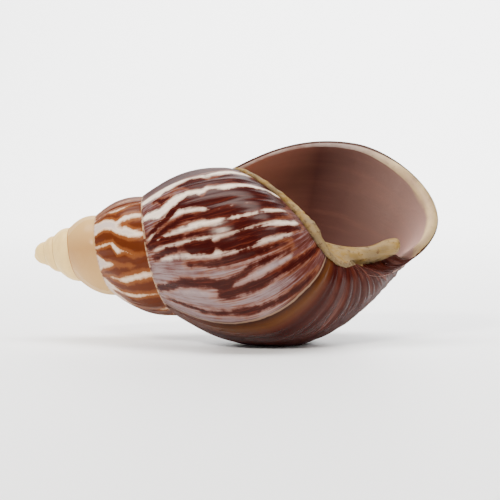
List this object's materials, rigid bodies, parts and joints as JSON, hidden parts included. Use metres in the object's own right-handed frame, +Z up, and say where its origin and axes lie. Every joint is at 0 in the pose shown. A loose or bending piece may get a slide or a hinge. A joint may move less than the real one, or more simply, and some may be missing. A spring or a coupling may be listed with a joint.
{
  "type": "land snail shell",
  "caption": "Empty right-handed land snail shell with a tall spire and an open aperture, lying on its last whorl.",
  "frame": {"origin": "centre of the shell's box, on the surface that it rests on", "axes": "+X from the apex towards the base, +Y away from the side that the aperture faces, +Z up"},
  "size_m": [0.104, 0.0508, 0.0519],
  "materials": {
    "shell": "glossy, streaked cream, rust and maroon"
  },
  "bodies": {
    "root": {"shell": "shell"}
  },
  "joints": []
}
